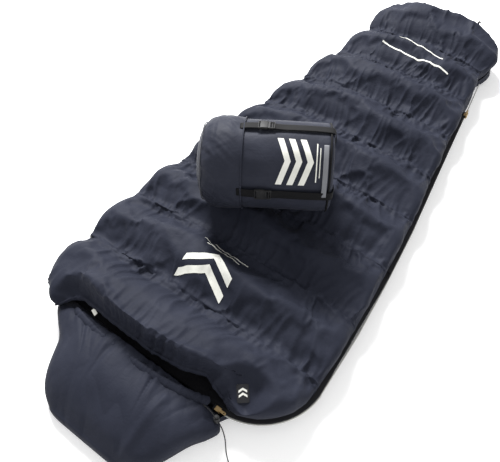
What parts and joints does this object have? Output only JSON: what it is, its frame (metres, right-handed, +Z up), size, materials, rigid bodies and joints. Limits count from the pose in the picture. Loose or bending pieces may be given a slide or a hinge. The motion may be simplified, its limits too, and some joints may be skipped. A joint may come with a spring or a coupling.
{
  "type": "mummy sleeping bag",
  "caption": "Quilted down mummy sleeping bag laid flat, with a two-way side zip, a fold-back front, a drawcord hood, and its compression sack lying on it.",
  "frame": {"origin": "on the ground under the middle of the bag", "axes": "+X to the zip side, +Y from the head to the foot, +Z up"},
  "size_m": [0.8263, 2.086, 0.412],
  "materials": {
    "shell_fabric": "satin nylon, down-filled",
    "lining_fabric": "matt nylon",
    "sack_fabric": "satin nylon",
    "zip_tape": "woven",
    "zip_coil": "moulded coil",
    "zip_metal": "antique brass",
    "piping": "light grey reflective piping",
    "webbing": "woven webbing",
    "light_webbing": "woven webbing",
    "cord": "braided",
    "black_plastic": "moulded",
    "hook_and_loop": "hook and loop"
  },
  "bodies": {
    "root": {"top_chamber_0": "shell_fabric", "top_chamber_1": "shell_fabric", "top_chamber_2": "shell_fabric", "top_chamber_3": "shell_fabric", "top_chamber_4": "shell_fabric", "top_chamber_5": "shell_fabric", "top_chamber_6": "shell_fabric", "top_chamber_7": "shell_fabric", "top_chamber_8": "shell_fabric", "bottom_chamber_0": "shell_fabric", "bottom_chamber_1": "shell_fabric", "bottom_chamber_2": "shell_fabric", "bottom_chamber_3": "shell_fabric", "bottom_chamber_4": "shell_fabric", "bottom_chamber_5": "shell_fabric", "bottom_chamber_6": "shell_fabric", "bottom_chamber_7": "shell_fabric", "bottom_chamber_8": "shell_fabric", "foot_end_panel": "shell_fabric", "lining_top": "lining_fabric", "lining_floor": "lining_fabric", "zip_tape_lower": "zip_tape", "zip_tape_upper": "zip_tape", "zip_coil_lower": "zip_coil", "zip_coil_upper": "zip_coil", "side_piping": "piping", "draft_tube": "lining_fabric", "zip_stops": "zip_coil", "foot_hang_loops": "webbing"},
    "flap": {"flap_chamber_6": "shell_fabric", "flap_chamber_7": "shell_fabric", "flap_chamber_8": "shell_fabric", "lining_flap": "lining_fabric", "zip_tape_flap": "zip_tape", "zip_coil_flap": "zip_coil", "zip_tab_hook_patch": "hook_and_loop"},
    "upper_slider": {"upper_slider": "zip_metal"},
    "upper_pull": {"upper_zip_pull": "zip_metal"},
    "lower_slider": {"lower_slider": "zip_metal"},
    "lower_pull": {"lower_zip_pull": "zip_metal"},
    "hood": {"hood_panel_left": "shell_fabric", "hood_gusset": "shell_fabric", "hood_panel_right": "shell_fabric", "hood_hem": "shell_fabric", "hood_drawcord": "cord", "hood_cord_end": "cord"},
    "cord_lock": {"cord_lock_barrel": "black_plastic"},
    "lock_plunger": {"cord_lock_plunger": "black_plastic"},
    "zip_tab": {"zip_end_tab": "hook_and_loop"},
    "sack": {"sack_body": "sack_fabric", "sack_base": "sack_fabric", "sack_base_straps": "webbing", "sack_handle": "light_webbing"},
    "sack_lid": {"sack_lid": "sack_fabric", "sack_lid_straps": "webbing", "sack_buckles": "black_plastic"}
  },
  "joints": [
    {"name": "quilt_fold", "type": "hinge", "parent": "root", "child": "flap", "pos_m": [-0.25, -0.787, 0.14], "axis": [-0.7383, -0.6744, 0], "range_deg": [0, 95]},
    {"name": "hood_fold", "type": "hinge", "parent": "root", "child": "hood", "pos_m": [0, -0.84, 0.105], "axis": [-1, 0, 0], "range_deg": [0, 70]},
    {"name": "upper_slider_travel", "type": "hinge", "parent": "root", "child": "upper_slider", "pos_m": [0.231, -0.619, 0.051], "axis": [0, 0, 1], "range_deg": [0, 88]},
    {"name": "upper_pull_swing", "type": "hinge", "parent": "upper_slider", "child": "upper_pull", "pos_m": [0.231, -0.803, 0.0573], "axis": [0, -1, 0], "range_deg": [0, 100]},
    {"name": "lower_slider_travel", "type": "slide", "parent": "root", "child": "lower_slider", "axis": [0.1467, -0.9892, 0], "range_m": [0, 0.585]},
    {"name": "lower_pull_swing", "type": "hinge", "parent": "lower_slider", "child": "lower_pull", "pos_m": [0.2776, 0.5732, 0.0573], "axis": [0.9892, 0.1467, 0], "range_deg": [0, 100]},
    {"name": "cord_lock_slide", "type": "slide", "parent": "hood", "child": "cord_lock", "axis": [0.9477, -0.3191, 0], "range_m": [-0.012, 0]},
    {"name": "lock_plunger_press", "type": "slide", "parent": "cord_lock", "child": "lock_plunger", "axis": [0, 0, -1], "range_m": [0, 0.003], "stiffness_N_per_m": 300, "springref_m": -0.002},
    {"name": "zip_tab_lift", "type": "hinge", "parent": "flap", "child": "zip_tab", "pos_m": [0.2549, -0.7327, 0.1064], "axis": [-0.7689, -0.6394, -0.002], "range_deg": [0, 150]},
    {"name": "sack_lift", "type": "slide", "parent": "root", "child": "sack", "axis": [0, 0, 1], "range_m": [0, 0.5]},
    {"name": "sack_lid_slide", "type": "slide", "parent": "sack", "child": "sack_lid", "axis": [-0.8554, -0.518, 0], "range_m": [0, 0.1]}
  ]
}
